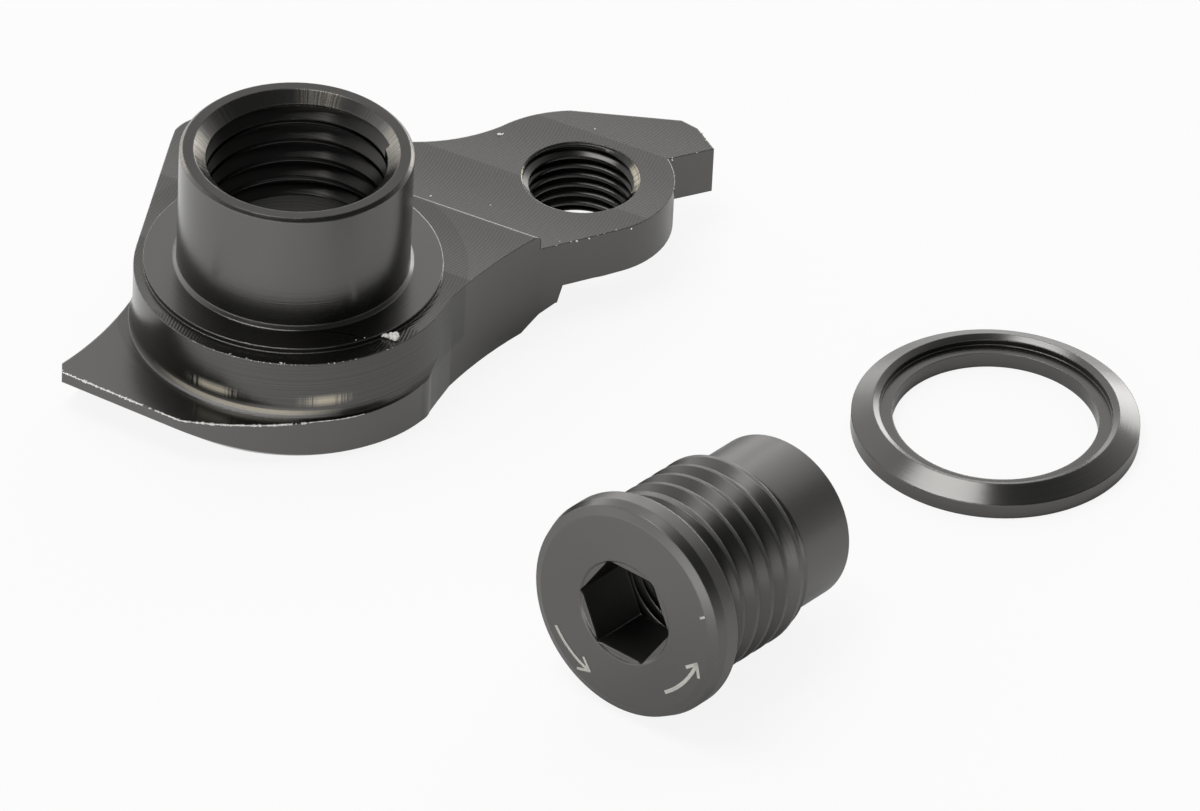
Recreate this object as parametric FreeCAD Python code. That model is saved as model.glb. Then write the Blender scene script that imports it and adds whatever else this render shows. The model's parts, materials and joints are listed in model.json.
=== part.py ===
"""Rear derailleur hanger with its hollow bolt and stepped washer, laid out on a table.

The hanger's barrel axis is Z, its underside rests at z = 0, and +X points from the barrel
axis to the derailleur's threaded hole. All sizes are in millimetres.
"""
import FreeCAD, Part
import math
import os
from FreeCAD import Placement, Rotation, Vector

# Barrel of the hanger, which passes through the frame's dropout
barrel_diameter = 19.9
barrel_height = 11.4            # above the seat face
barrel_edge = 0.3               # chamfer outside the mouth
barrel_foot = 0.3               # bevel where the barrel meets the seat
barrel_mouth = 17.5             # diameter of the lead-in chamfer at the mouth
barrel_thread_end = 9.0         # height at which the coarse thread stops

# Seat and head, turned about the barrel axis
seat_height = 10.0
seat_diameter = 25.5
seat_step = 0.5                 # the seat stands this far above the head's face
head_diameter = 27.4
head_across = -0.2              # the head's round wall is milled a little off the barrel's axis
head_along = -0.6

# Foot: the thin lower plate with its pointed fin
foot_margin = 1.35              # how far the foot stands out past the head's wall
foot_height = 4.0
blend_radius = 2.0              # hollow blend between the head's wall and the foot
blend_height = 1.05             # how far the blend climbs the wall
fin_edge = 1.05                 # height of the fin's outer edge
bevel_start = 0.5               # height at which the foot's underside bevel ends at its round wall
fin_reach = 21.13               # from the barrel's axis to the fin's tip
fin_tip = Vector(-fin_reach, 2.62, 0)
fin_tip_back = Vector(0.60 - fin_reach, 3.64, 0)
fin_back = Vector(-14.30, 6.25, 0)
fin_root_reach = 13.9           # where the fin's back edge ends, along the lobe's long side
foot_edge = head_diameter / 2 + foot_margin
fin_corner = Vector(-15.92, 7.01 - foot_edge, 0)
fin_front = Vector(-10.92, 3.39 - foot_edge, 0)
foot_start = Vector(-5.70, 1.11 - foot_edge, 0)
foot_front = Vector(0.20, 0.13 - foot_edge, 0)
corner_start = Vector(4.55, 1.27 - foot_edge, 0)
corner_middle = Vector(5.38, 1.61 - foot_edge, 0)
corner_end = Vector(5.98, 2.09 - foot_edge, 0)

# Arm to the derailleur
hole_distance = 29.0            # barrel axis to the derailleur's hole
arm_drop = 1.5                  # step from the head's face down to the arm's face
step_angle = 30.3               # direction of the step's normal in plan
step_distance = 14.1            # from the barrel's axis to the step
step_round = 0.6                # rounding along the step's top edge
arm_end_radius = 8.1
waist_gap = 0.21                # the waist's curve starts this far outside the head's wall
waist_angle = -46.92            # and in this direction from the head's centre
waist_middle = Vector(14.10, -8.76, 0)
waist_end = Vector(hole_distance - 8.40, -7.05, 0)
lobe_reach = 21.82              # from the barrel's axis to the lobe's far end
lobe_left = Vector(-0.32, lobe_reach - 2.11, 0)
lobe_tip = Vector(1.05, lobe_reach - 0.66, 0)
lobe_top = Vector(3.40, lobe_reach, 0)
lobe_right = Vector(5.60, lobe_reach - 0.62, 0)
back_start = Vector(hole_distance - 10.40, 11.72, 0)
back_middle = Vector(hole_distance - 6.06, 9.90, 0)
back_end = Vector(hole_distance - 2.00, 9.60, 0)
shoulder_middle = Vector(hole_distance + 1.30, 9.62, 0)
shoulder_end = Vector(hole_distance + 4.40, 8.62, 0)

# Tab that the derailleur's tension stop bears on
tab_reach = 12.6                # from the hole's axis to the tab's end
tab_front = Vector(hole_distance + tab_reach - 0.37, -2.18, 0)
tab_side = Vector(hole_distance + tab_reach, 1.00, 0)
tab_back = Vector(hole_distance + tab_reach - 0.57, 2.65, 0)
tab_slope = -9.6                # direction of the tab's front wall in plan

# Relief under the arm's end
relief_height = 3.5             # underside of the arm's rim and of the tab
relief_radius = 9.65            # round step wall about the hole
relief_draft = 0.7              # how far the step wall leans
neck_relief_start = 10.4        # before the hole, the underside starts to rise here
neck_relief_end = 6.9
neck_relief_height = 1.8
boss_height = 1.05              # underside of the boss round the hole
boss_radius = 5.25

# Threads
hole_thread_diameter = 10.0     # fine thread for the derailleur's bolt
hole_mouth = 10.25
coarse_diameter = 17.2          # left-hand coarse thread between barrel and bolt, at its roots
coarse_crest = 15.4
coarse_pitch = 2.0
coarse_turns = 5.1
coarse_start = 18.0             # where the barrel's thread starts, in degrees about its axis
coarse_clearance = 0.16         # radial, between the bolt's crests and the barrel's roots
groove_width = 1.6              # at the crests
axle_thread_diameter = 12.0     # fine thread inside the bolt, for the wheel's axle

# Bolt
flange_diameter = 19.4
flange_thickness = 2.7
flange_round_wide = 1.05        # rounding between the flange's face and its rim
flange_round_deep = 1.25
bolt_thread_length = 11.9       # from the flange's back to the end of the thread
bolt_relief_length = 1.9        # plain neck behind the flange
bolt_relief_diameter = 15.9
bolt_thread_edge = 0.5
bolt_length = 21.5
tail_diameter = 14.8
tail_clearance = 0.1            # radial, between the tail and the barrel's plain bore
tail_edge = 0.4
hex_width = 8.0                 # across the flats
hex_depth = 6.0
hex_edge = 0.35

# Washer
washer_diameter = 24.6
washer_rim = 1.35
washer_height = 2.3
washer_crest_diameter = 21.0
washer_seat_height = 1.45
seat_clearance = 0.25           # radial, between the bolt's flange and the washer's counterbore
bore_clearance = 0.35           # radial, between the bolt's thread and the washer's bore

# Where the loose pieces lie
bolt_across = -0.1
bolt_ahead = 54.2
bolt_direction = 19.4
washer_across = 46.5
washer_ahead = 38.7

head_centre = Vector(head_across, head_along, 0)
head_height = seat_height - seat_step
arm_height = head_height - arm_drop
barrel_top = seat_height + barrel_height
over = 1.0                      # how far a cutting body runs past the face it cuts
far = 80.0                      # size of the blocks that cut away a whole side


def face_of(edges):
    """A flat face inside a closed run of edges."""
    return Part.Face(Part.Wire(Part.__sortEdges__(edges)))


def line(start, end):
    return Part.LineSegment(start, end).toShape()


def arc(start, middle, end):
    return Part.Arc(start, middle, end).toShape()


def on_circle(radius, angle):
    """The point at this angle in degrees on a circle about the origin."""
    turn = math.radians(angle)
    return Vector(radius * math.cos(turn), radius * math.sin(turn), 0)


def turned(points):
    """A body of revolution about Z from (radius, height) points."""
    outline = [Vector(radius, 0, height) for radius, height in points]
    outline.append(outline[0])
    return Part.Face(Part.makePolygon(outline)).revolve(Vector(0, 0, 0), Vector(0, 0, 1), 360)


def disc(radius, low, high, centre=Vector(0, 0, 0)):
    return Part.makeCylinder(radius, high - low, centre + Vector(0, 0, low))


def tangent_point(start, centre, radius, side):
    """Where the line from start touches a circle, on its right (side 1) or its left (side -1)."""
    reach = centre - start
    turn = math.atan2(reach.y, reach.x) - side * math.asin(radius / reach.Length)
    length = math.sqrt(reach.Length ** 2 - radius ** 2)
    return start + Vector(length * math.cos(turn), length * math.sin(turn), 0)


def waist_start():
    """Where the arm's front wall starts to curve, just outside the head's round wall."""
    return head_centre + on_circle(head_diameter / 2 + waist_gap, waist_angle)


def waist_root():
    """Where the arm's front wall leaves the head's round wall."""
    return tangent_point(waist_start(), head_centre, head_diameter / 2, -1)


def lobe_root():
    """Where the lobe's long side meets the head's round wall."""
    return tangent_point(lobe_left, head_centre, head_diameter / 2, 1)


def coarse_grooves(crest, root, low, turns):
    """The helical groove of a left-hand thread, cut from the crest's radius to the root's."""
    side = 1 if root > crest else -1
    lift = 0.3
    half_mouth = groove_width / 2 * (1 + lift / abs(root - crest))
    section = Part.makePolygon([
        Vector(crest - side * lift, 0, -half_mouth),
        Vector(root, 0, 0),
        Vector(crest - side * lift, 0, half_mouth),
        Vector(crest - side * lift, 0, -half_mouth)])
    left_handed = True
    path = Part.makeLongHelix(coarse_pitch, coarse_pitch * turns, crest, 0, left_handed)
    groove = Part.Wire(path.Edges).makePipeShell([section], True, True)
    groove.translate(Vector(0, 0, low))
    return groove


def foot_outline():
    """The foot's outline at its upper face: a round front that runs out into the fin."""
    along = (lobe_root() - lobe_left).normalize()
    fin_root = lobe_left + along * fin_root_reach
    return face_of([
        line(head_centre, waist_root()),
        line(waist_root(), corner_end),
        arc(corner_end, corner_middle, corner_start),
        arc(corner_start, foot_front, foot_start),
        arc(foot_start, fin_front, fin_corner),
        line(fin_corner, fin_tip),
        line(fin_tip, fin_tip_back),
        arc(fin_tip_back, fin_back, fin_root),
        line(fin_root, head_centre)])


def bevel_cutters():
    """What the bevel under the fin and the foot takes away: a flat side and a round side."""
    edge = (fin_tip - fin_corner).normalize()
    outward = Vector(-edge.y, edge.x, 0)
    reach = outward.dot(fin_corner)
    rise = foot_height - fin_edge
    slope = (reach - foot_edge) / (rise - bevel_start)
    low_reach = foot_edge - slope * bevel_start
    wedge = Part.Face(Part.makePolygon([
        Vector(low_reach - slope * over, 0, -over),
        Vector(reach, 0, rise),
        Vector(far, 0, rise),
        Vector(far, 0, -over),
        Vector(low_reach - slope * over, 0, -over)]))
    turn = math.degrees(math.atan2(outward.y, outward.x))
    flat = wedge.extrude(Vector(0, -far, 0))
    ring = wedge.revolve(Vector(0, 0, 0), Vector(0, 0, 1), 150)
    for cutter in (flat, ring):
        cutter.rotate(Vector(0, 0, 0), Vector(0, 0, 1), turn)
    return [flat, ring]


def blend():
    """The hollow blend all round the head's wall, down to the foot's upper face."""
    wall = head_diameter / 2
    top = foot_height + blend_height
    reach = blend_radius - math.sqrt(blend_radius ** 2 - blend_height ** 2)
    half = math.asin(blend_height / blend_radius) / 2
    middle = Vector(wall + blend_radius * (1 - math.cos(half)), 0, top - blend_radius * math.sin(half))
    crease = Vector(wall + reach, 0, foot_height)
    inner = Vector(wall - over, 0, foot_height)
    section = Part.Face(Part.Wire([
        line(Vector(wall - over, 0, top), Vector(wall, 0, top)),
        arc(Vector(wall, 0, top), middle, crease),
        line(crease, inner),
        line(inner, Vector(wall - over, 0, top))]))
    ring = section.revolve(Vector(0, 0, 0), Vector(0, 0, 1), 360)
    ring.translate(head_centre)
    return ring


def foot():
    """The lower plate with the fin, bevelled underneath, and the blend up to the head."""
    outline = foot_outline()
    plate = outline.extrude(Vector(0, 0, foot_height))
    for cutter in bevel_cutters():
        plate = plate.cut(cutter)
    above = outline.extrude(Vector(0, 0, foot_height + blend_height + over))
    return plate.fuse(blend().common(above))


def arm_end():
    """The arm's round end and the tab's front wall: start, middle and end of the arc."""
    hole = Vector(hole_distance, 0, 0)
    touch = tangent_point(waist_end, hole, arm_end_radius, 1)
    slope = math.radians(tab_slope)
    along = Vector(math.cos(slope), math.sin(slope), 0)
    nearest = tab_front + along * (hole - tab_front).dot(along)
    leave = nearest + along * math.sqrt(arm_end_radius ** 2 - (hole - nearest).Length ** 2)
    turn = (math.atan2(touch.y, touch.x - hole.x) + math.atan2(leave.y, leave.x - hole.x)) / 2
    middle = hole + Vector(math.cos(turn), math.sin(turn), 0) * arm_end_radius
    return touch, middle, leave


def arm_outline():
    """Plan of the full-height body beside the head: waist, round end, tab and lobe."""
    touch, middle, leave = arm_end()
    return face_of([
        line(head_centre, waist_root()),
        line(waist_root(), waist_start()),
        arc(waist_start(), waist_middle, waist_end),
        line(waist_end, touch),
        arc(touch, middle, leave),
        line(leave, tab_front),
        line(tab_front, tab_side),
        line(tab_side, tab_back),
        line(tab_back, shoulder_end),
        arc(shoulder_end, shoulder_middle, back_end),
        arc(back_end, back_middle, back_start),
        line(back_start, lobe_right),
        arc(lobe_right, lobe_top, lobe_tip),
        line(lobe_tip, lobe_left),
        line(lobe_left, lobe_root()),
        line(lobe_root(), head_centre)])


def step_cutter():
    """What the second milled level takes off the arm, past a straight step beside the head."""
    reach = step_distance
    low = arm_height
    top = head_height
    middle = Vector(reach - step_round * (1 - math.sqrt(0.5)), 0, top - step_round * (1 - math.sqrt(0.5)))
    section = Part.Face(Part.Wire([
        line(Vector(reach, 0, low), Vector(reach, 0, top - step_round)),
        arc(Vector(reach, 0, top - step_round), middle, Vector(reach - step_round, 0, top)),
        line(Vector(reach - step_round, 0, top), Vector(reach - step_round, 0, top + over)),
        line(Vector(reach - step_round, 0, top + over), Vector(far, 0, top + over)),
        line(Vector(far, 0, top + over), Vector(far, 0, low)),
        line(Vector(far, 0, low), Vector(reach, 0, low))]))
    cutter = section.extrude(Vector(0, 2 * far, 0))
    cutter.translate(Vector(0, -far, 0))
    cutter.rotate(Vector(0, 0, 0), Vector(0, 0, 1), step_angle)
    return cutter


def relief_cutter():
    """What is milled away under the arm's end and the tab, leaving a boss round the hole."""
    hole = Vector(hole_distance, 0, 0)
    low_radius = relief_radius + relief_draft
    pocket = turned([(0, -over), (low_radius, -over), (relief_radius, relief_height), (0, relief_height)])
    pocket.translate(hole)
    side = Part.makeBox(far, 2 * far, relief_height + over, Vector(hole_distance, -far, -over))
    boss = turned([(0, boss_height), (boss_radius, boss_height),
                   (arm_end_radius, relief_height), (0, relief_height)])
    boss.translate(hole)
    rise = neck_relief_height / (neck_relief_start - neck_relief_end)
    low_start = hole_distance - neck_relief_start - over / rise
    ramp = Part.Face(Part.makePolygon([
        Vector(low_start, -far, -over),
        Vector(hole_distance - neck_relief_end, -far, neck_relief_height),
        Vector(hole_distance, -far, neck_relief_height),
        Vector(hole_distance, -far, -over),
        Vector(low_start, -far, -over)])).extrude(Vector(0, 2 * far, 0))
    return pocket.fuse(side).fuse(ramp).cut(boss)


def derailleur_hole():
    """The through hole for the derailleur's bolt, with a small chamfer at its mouth."""
    radius = hole_thread_diameter / 2
    mouth = hole_mouth / 2
    chamfer = mouth - radius
    cutter = turned([(0, boss_height - over), (radius, boss_height - over),
                     (radius, arm_height - chamfer), (mouth, arm_height),
                     (mouth, arm_height + over), (0, arm_height + over)])
    cutter.translate(Vector(hole_distance, 0, 0))
    return cutter


def barrel():
    """The seat and the barrel that stands on it, with the small bevel at its foot."""
    radius = barrel_diameter / 2
    seat = seat_diameter / 2
    return turned([
        (0, foot_height), (seat, foot_height), (seat, seat_height), (radius + barrel_foot, seat_height),
        (radius, seat_height + barrel_foot), (radius, barrel_top - barrel_edge),
        (radius - barrel_edge, barrel_top), (0, barrel_top)])


def barrel_bore():
    """The bore through barrel and head, with the lead-in chamfer at the barrel's mouth."""
    plain = tail_diameter / 2 + tail_clearance
    radius = coarse_crest / 2
    mouth = barrel_mouth / 2
    chamfer = mouth - radius
    return turned([(0, -over), (plain, -over), (plain, barrel_thread_end), (radius, barrel_thread_end),
                   (radius, barrel_top - chamfer), (mouth, barrel_top), (mouth, barrel_top + over),
                   (0, barrel_top + over)])


def hanger():
    body = arm_outline().extrude(Vector(0, 0, head_height))
    body = body.cut(step_cutter())
    body = body.cut(relief_cutter())
    body = body.fuse(foot())
    body = body.fuse(disc(head_diameter / 2, bevel_start, head_height, head_centre))
    body = body.fuse(barrel())
    body = body.cut(barrel_bore())
    body = body.cut(derailleur_hole())
    start = barrel_thread_end + coarse_pitch / 2
    grooves = coarse_grooves(coarse_crest / 2, coarse_diameter / 2, start, coarse_turns)
    grooves.rotate(Vector(0, 0, 0), Vector(0, 0, 1), coarse_start)
    return body.cut(grooves).removeSplitter()


def bolt_body():
    """The bolt along its own Z axis, with the middle of its flange's face at the origin."""
    rim = flange_diameter / 2
    crest = coarse_diameter / 2 - coarse_clearance
    tail = tail_diameter / 2
    neck = bolt_relief_diameter / 2
    neck_end = flange_thickness + bolt_relief_length
    thread_end = flange_thickness + bolt_thread_length
    bore = axle_thread_diameter / 2
    body = turned([
        (0, 0), (rim - flange_round_wide, 0), (rim - 0.28 * flange_round_wide, 0.28 * flange_round_deep),
        (rim, flange_round_deep), (rim, flange_thickness), (neck, flange_thickness), (neck, neck_end),
        (crest, neck_end + crest - neck), (crest, thread_end - bolt_thread_edge),
        (crest - bolt_thread_edge, thread_end), (tail, thread_end), (tail, bolt_length - tail_edge),
        (tail - tail_edge, bolt_length), (0, bolt_length)])
    body = body.cut(turned([(0, hex_depth), (bore, hex_depth), (bore, bolt_length + over),
                            (0, bolt_length + over)]))
    return body.cut(hex_socket())


def hex_socket():
    """The hexagonal socket, with a corner on +X and a small chamfer at its mouth."""
    corner = hex_width / math.sqrt(3)
    points = [on_circle(corner, 60 * index) for index in range(7)]
    socket = Part.Face(Part.makePolygon(points)).extrude(Vector(0, 0, hex_depth + over))
    socket.translate(Vector(0, 0, -over / 2))
    lead_in = turned([(0, -over), (corner + hex_edge / 2 + over, -over), (corner - hex_edge / 2, hex_edge / 2),
                      (0, hex_edge / 2)])
    return socket.fuse(lead_in)


def bolt_tilt():
    """How far the bolt leans when its flange's rim and the end of its thread touch the table."""
    rim = flange_diameter / 2
    crest = coarse_diameter / 2 - coarse_clearance
    return math.atan2(rim - crest, bolt_thread_length - bolt_thread_edge)


def bolt():
    body = bolt_body()
    crest = coarse_diameter / 2 - coarse_clearance
    root = coarse_crest / 2
    start = flange_thickness + bolt_relief_length + coarse_pitch / 4
    turns = (bolt_thread_length - bolt_relief_length) / coarse_pitch
    body = body.cut(coarse_grooves(crest, root, start, turns)).removeSplitter()
    tilt = bolt_tilt()
    turn = math.radians(bolt_direction)
    axis = Vector(math.cos(turn) * math.cos(tilt), math.sin(turn) * math.cos(tilt), -math.sin(tilt))
    side = Vector(0, 0, 1).cross(axis).normalize()
    up = axis.cross(side)
    contact = Vector(bolt_across, -bolt_ahead, 0)
    middle = contact + up * (flange_diameter / 2) - axis * flange_thickness
    body.Placement = Placement(middle, Rotation(side, up, axis, "ZXY"))
    return body


def washer():
    """The stepped washer: a low rim, a conical face up to a crest, and a counterbore."""
    rim = washer_diameter / 2
    crest = washer_crest_diameter / 2
    seat = flange_diameter / 2 + seat_clearance
    bore = coarse_diameter / 2 - coarse_clearance + bore_clearance
    body = turned([
        (bore, 0), (rim, 0), (rim, washer_rim), (crest, washer_height),
        (seat, washer_height - (crest - seat) / 2), (seat, washer_seat_height), (bore, washer_seat_height)])
    body.translate(Vector(washer_across, -washer_ahead, 0))
    return body


def write(name, shape):
    """Save one solid as its own STEP file."""
    solids = shape.Solids
    print(name, "solids", len(solids), "valid", shape.isValid(), "volume", round(shape.Volume, 2))
    solids[0].exportStep(os.path.join("parts", name + ".step"))


def main():
    os.makedirs("parts", exist_ok=True)
    write("hanger", hanger())
    write("hanger_bolt", bolt())
    write("washer", washer())


main()
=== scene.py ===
"""Looks of a rear derailleur hanger with its hollow bolt and stepped washer.

The three pieces are milled and turned from aluminium and anodised black. They lie on a white
table. Lengths are in millimetres times MM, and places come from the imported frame.
"""

import json
import math
import random

import bmesh
import bpy
from bpy.props import FloatProperty, FloatVectorProperty, PointerProperty
from mathutils import Matrix, Vector


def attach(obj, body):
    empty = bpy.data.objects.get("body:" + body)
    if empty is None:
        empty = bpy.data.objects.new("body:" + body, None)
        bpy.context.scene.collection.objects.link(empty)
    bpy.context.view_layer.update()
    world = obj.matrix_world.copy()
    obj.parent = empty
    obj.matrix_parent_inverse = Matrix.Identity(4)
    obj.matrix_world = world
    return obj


bl_info = {
    "name": "Derailleur Hanger Looks",
    "version": (1, 0, 0),
    "blender": (4, 5, 0),
    "location": "View3D > Sidebar > Hanger",
    "description": "Finishes, fine threads, burrs and stage for a derailleur hanger with bolt and washer",
    "category": "Object",
}

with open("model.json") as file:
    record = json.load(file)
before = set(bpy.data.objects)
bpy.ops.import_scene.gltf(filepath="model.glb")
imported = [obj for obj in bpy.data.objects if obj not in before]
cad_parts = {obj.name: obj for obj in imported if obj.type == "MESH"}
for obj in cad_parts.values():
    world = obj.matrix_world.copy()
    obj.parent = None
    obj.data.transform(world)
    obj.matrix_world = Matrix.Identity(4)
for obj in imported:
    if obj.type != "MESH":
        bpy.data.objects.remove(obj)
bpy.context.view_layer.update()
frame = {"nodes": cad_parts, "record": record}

MM = 0.001
MATH = "ShaderNodeMath"
VECTOR = "ShaderNodeVectorMath"
NOISE = "ShaderNodeTexNoise"
RAMP = "ShaderNodeMapRange"
MOUNTS = {mount["name"]: mount for mount in frame["record"]["mounts"]}

# Places on the three pieces, read from the frame
BARREL_CENTRE = Vector(MOUNTS["bolt_bore"]["pos_m"])
HOLE = MOUNTS["derailleur_thread"]
HOLE_CENTRE = Vector(HOLE["pos_m"])
AXLE = MOUNTS["axle_thread"]
BOLT_AXIS = Vector(AXLE["axis"]).normalized()
WASHER_CENTRE = Vector(MOUNTS["washer_bore"]["pos_m"])
SEAT_TOP = MOUNTS["dropout_seat"]["pos_m"][2]
UP = Vector((0, 0, 1))

# Sizes that the frame's mounts don't hold
HEAD_CENTRE = Vector((-0.2, -0.6, 0.0)) * MM
SEAT_RADIUS = 12.75 * MM
RIM_HEIGHT = 21.4 * MM
MOUTH_BOTTOM = 20.0 * MM            # below the lead-in chamfer at the barrel's mouth
BORE_RADIUS = 8.65 * MM             # wider than the thread's root in the barrel
BARREL_OUTSIDE = 10.3 * MM          # wider than the barrel and narrower than the head
HEAD_OUTSIDE = 14.9 * MM            # past the head's wall, about the barrel's axis
HOLE_MOUTH_RADIUS = 5.125 * MM
HEAD_TOP = SEAT_TOP - 0.5 * MM
ARM_TOP = SEAT_TOP - 2.0 * MM
FOOT_TOP = 4.0 * MM
BOSS_BOTTOM = 1.05 * MM
HEX_DEPTH = 6.0 * MM
BOLT_LENGTH_TO_MID_WALL = HEX_DEPTH + AXLE["dims"]["length_mm"] * MM / 2
BOLT_FACE = Vector(AXLE["pos_m"]) - BOLT_AXIS * BOLT_LENGTH_TO_MID_WALL
BOLT_THREADS = (3.2 * MM, 12.0 * MM)  # from the bolt's face, and more than the washer's height
AXLE_BORE_RADIUS = AXLE["dims"]["r_mm"] * MM + 0.05 * MM
INK_HEIGHT = 0.03 * MM

# Face milling of the arm: straight passes side by side, each a row of arcs
PASS_ANGLE = math.radians(30.3)     # direction across the passes
PASS_START = 14.1 * MM              # from the barrel's axis to the first pass
PASS_WIDTH = 8.6 * MM
CUTTER_RADIUS = 12.8 * MM
CUTTER_MIDDLE = 5.1 * MM            # from a pass's start to the line that the cutter's centre runs on
CUTTER_FEED = 0.3 * MM

# Heights of the tool marks
ARC_HEIGHT = 0.006 * MM
FINE_HEIGHT = 0.006 * MM
CHATTER_HEIGHT = 0.02 * MM

# Painted warm highlights at the bottom of the head's wall: degrees about the head's centre
WALL_HIGHLIGHTS = ((-160, -143), (-117, -103))
WALL_HIGHLIGHT_LOW = 5.2 * MM
WALL_HIGHLIGHT_HIGH = 6.0 * MM
WALL_HIGHLIGHT_SHARE = 0.85                  # how strongly the painted highlight shows there

# A painted highlight along the hollow under the head's wall: degrees about the head's centre
HOLLOW_HIGHLIGHT = (-172, -112)
HOLLOW_HIGHLIGHT_SHARE = 0.45

# Painted highlights on the mouths' chamfers, broken into chatter ticks: degrees about the barrel
# and about the hole, how bright, and how many degrees apart the ticks are
MOUTH_GLINTS = ((-45, -6), (32, 57), (130, 168))
MOUTH_SHARE = 0.2
MOUTH_TICK = 1.1
HOLE_GLINTS = ((-51, -9), (135, 161))
HOLE_SHARE = 0.7
HOLE_TICK = 2.6

# Bright specks where the photo shows them. On the barrel's rim: azimuth in degrees
RIM_SPECKS = (-170, -155, -138, -113, -102, -67, 67, 104)
RIM_SPECK_RADIUS = 9.1 * MM
RIM_SPECK_SIZE = 0.13 * MM
# On the upper faces, in millimetres: right, back and size
SEAT_SPECKS = ((-1.4, -12.4, 0.1), (-0.6, -12.5, 0.1))
HEAD_SPECKS = ((-11.3, -8.3, 0.12), (-10.4, -9.5, 0.1), (-8.2, -11.5, 0.24), (-8.0, -11.7, 0.14),
               (-4.3, -13.7, 0.16))
ARM_SPECKS = ((16.3, 4.0, 0.2), (20.1, 0.4, 0.1), (26.2, 8.6, 0.34), (26.5, 8.6, 0.16),
              (33.8, 5.3, 0.16), (18.4, -5.8, 0.12), (22.5, -6.9, 0.12), (23.8, -7.6, 0.2),
              (24.9, -7.8, 0.12), (27.6, -7.9, 0.12), (28.8, -8.4, 0.14), (11.1, -8.6, 0.16),
              (41.6, 0.2, 0.16), (41.3, -0.8, 0.16), (37.2, -1.8, 0.12))

# Burrs on the foot's edge and flakes on the head's: degrees about the barrel's axis
FOOT_BURRS = (172, 268)
FIN_END = 244                       # from the thick lip of the fin to the thin one of the front
HEAD_FLAKES = (200, 275)

# The crumb's lumps in millimetres: right, back and radius, on a level of its own
CRUMB_LUMPS = ((0.98, -12.42, 0.16), (1.12, -12.62, 0.22), (1.35, -12.9, 0.24),
               (1.66, -13.2, 0.36), (1.95, -13.42, 0.4), (2.12, -13.3, 0.22))
CRUMB_LEVEL = 9.65

# The scratch on the seat in millimetres, right and back: its start, what it bends towards, its end
SCRATCH = ((-3.69, -9.69), (-1.6, -10.9), (-0.62, -12.7))

# Camera: where it stands, and in degrees its heading about Z, how far down it looks and its lean
CAMERA_PLACE = Vector((-512.76, -800.31, 722.62)) * MM
CAMERA_HEADING = 55.747
CAMERA_DIP = 37.41
CAMERA_LEAN = 2.94
CAMERA_LENS = 420.0                 # in millimetres, as Blender has it
AWAY = Vector((math.cos(math.radians(CAMERA_HEADING)), math.sin(math.radians(CAMERA_HEADING)), 0))
RIGHT = Vector((AWAY.y, -AWAY.x, 0))
TABLE_MIDDLE = Vector((12.0, -22.0, 0.0)) * MM
PAPER_WHITENED = 0.88               # share of plain white in the paper that the camera sees


def heading(azimuth, elevation=0):
    """Direction in the studio: degrees to the right of straight away from the camera, and up."""
    turn = math.radians(azimuth)
    rise = math.radians(elevation)
    level = AWAY * math.cos(turn) + RIGHT * math.sin(turn)
    return level * math.cos(rise) + UP * math.sin(rise)


def linear(code):
    """A linear colour from an sRGB hex code such as #5f5e5d."""
    channels = [int(code[place:place + 2], 16) / 255 for place in (1, 3, 5)]
    return [c / 12.92 if c <= 0.04045 else ((c + 0.055) / 1.055) ** 2.4 for c in channels]


class FinishSettings(bpy.types.PropertyGroup):
    """Colours and surface of the anodised pieces."""
    anodised: FloatVectorProperty(
        name="Anodised", description="Colour of the black anodised aluminium", subtype="COLOR",
        size=3, min=0.0, max=1.0, default=linear("#656566"))
    anodised_warm: FloatVectorProperty(
        name="Anodised, warm", description="Colour where the dye is thinner", subtype="COLOR",
        size=3, min=0.0, max=1.0, default=linear("#696763"))
    # Colour of the painted highlights: patches at the foot of the head's wall, the hollow below it and
    # the mouths' chamfers
    painted_highlight: FloatVectorProperty(
        name="Burnished", description="Colour where the cutter dwelt and rubbed the surface bright",
        subtype="COLOR", size=3, min=0.0, max=1.0, default=linear("#e2d8c2"))
    # The bare colour also goes along the edges, partly as wear and partly as a painted highlight
    bare: FloatVectorProperty(
        name="Bare aluminium", description="Colour of burrs and worn edges", subtype="COLOR",
        size=3, min=0.0, max=1.0, default=linear("#e3e2de"))
    printing: FloatVectorProperty(
        name="Printing", description="Colour of the arrows on the bolt", subtype="COLOR",
        size=3, min=0.0, max=1.0, default=linear("#f4f2ec"))
    roughness: FloatProperty(
        name="Roughness", description="How satin the anodised surface is", min=0.05, max=1.0,
        default=0.22)
    edge_radius: FloatProperty(
        name="Edge radius", description="Rounding that the light catches along every edge",
        unit="LENGTH", min=0.0, max=1 * MM, default=0.15 * MM)


class ThreadSettings(bpy.types.PropertyGroup):
    """Sizes of the two fine threads, which the solids leave out."""
    pitch: FloatProperty(
        name="Pitch", description="Rise of a ridge in one turn", unit="LENGTH",
        min=0.5 * MM, max=2 * MM, default=1.0 * MM)
    depth: FloatProperty(
        name="Depth", description="From a thread's root to its crest", unit="LENGTH",
        min=0.2 * MM, max=1 * MM, default=0.54 * MM)


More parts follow.
